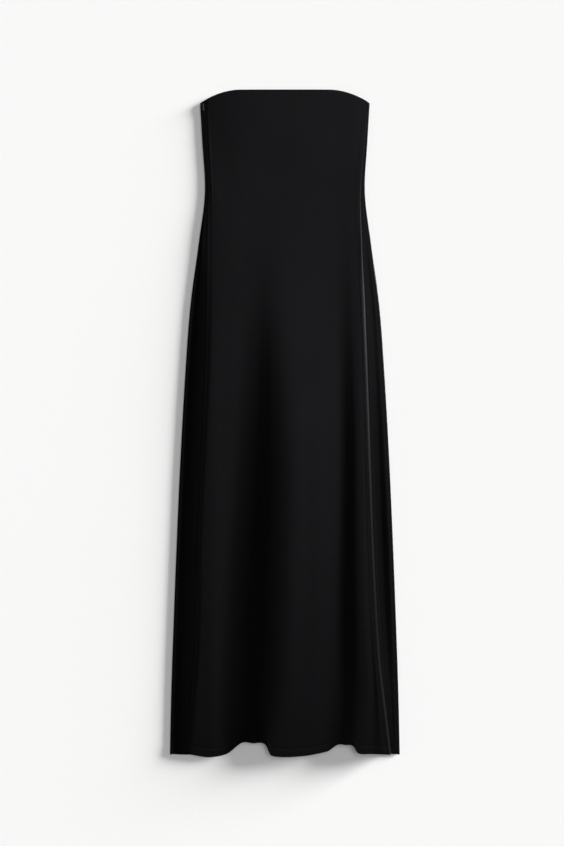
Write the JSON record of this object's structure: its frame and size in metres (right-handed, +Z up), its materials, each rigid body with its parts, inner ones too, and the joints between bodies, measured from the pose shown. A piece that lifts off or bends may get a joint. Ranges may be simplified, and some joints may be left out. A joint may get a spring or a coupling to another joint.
{
  "type": "strapless maxi dress laid flat",
  "caption": "Long strapless tube dress of heavy jersey, laid flat on its back, with the skirt's fullness in soft lengthwise folds.",
  "frame": {"origin": "on the table, under the middle of the dress's bounding box", "axes": "+Y runs from the hem to the neckline, +X to the viewer's right as the front is seen from above, +Z up from the table"},
  "size_m": [0.4478, 1.3, 0.0383],
  "materials": {
    "jersey": "matt black heavy jersey with a faint sheen on its folds",
    "jersey_turning": "the same black jersey, its inner side, turned in at the neckline and up at the hem"
  },
  "bodies": {
    "root": {"front": "jersey", "back": "jersey", "front_neck_edge": "jersey_turning", "back_neck_edge": "jersey_turning", "front_hem": "jersey_turning", "back_hem": "jersey_turning"}
  },
  "joints": []
}
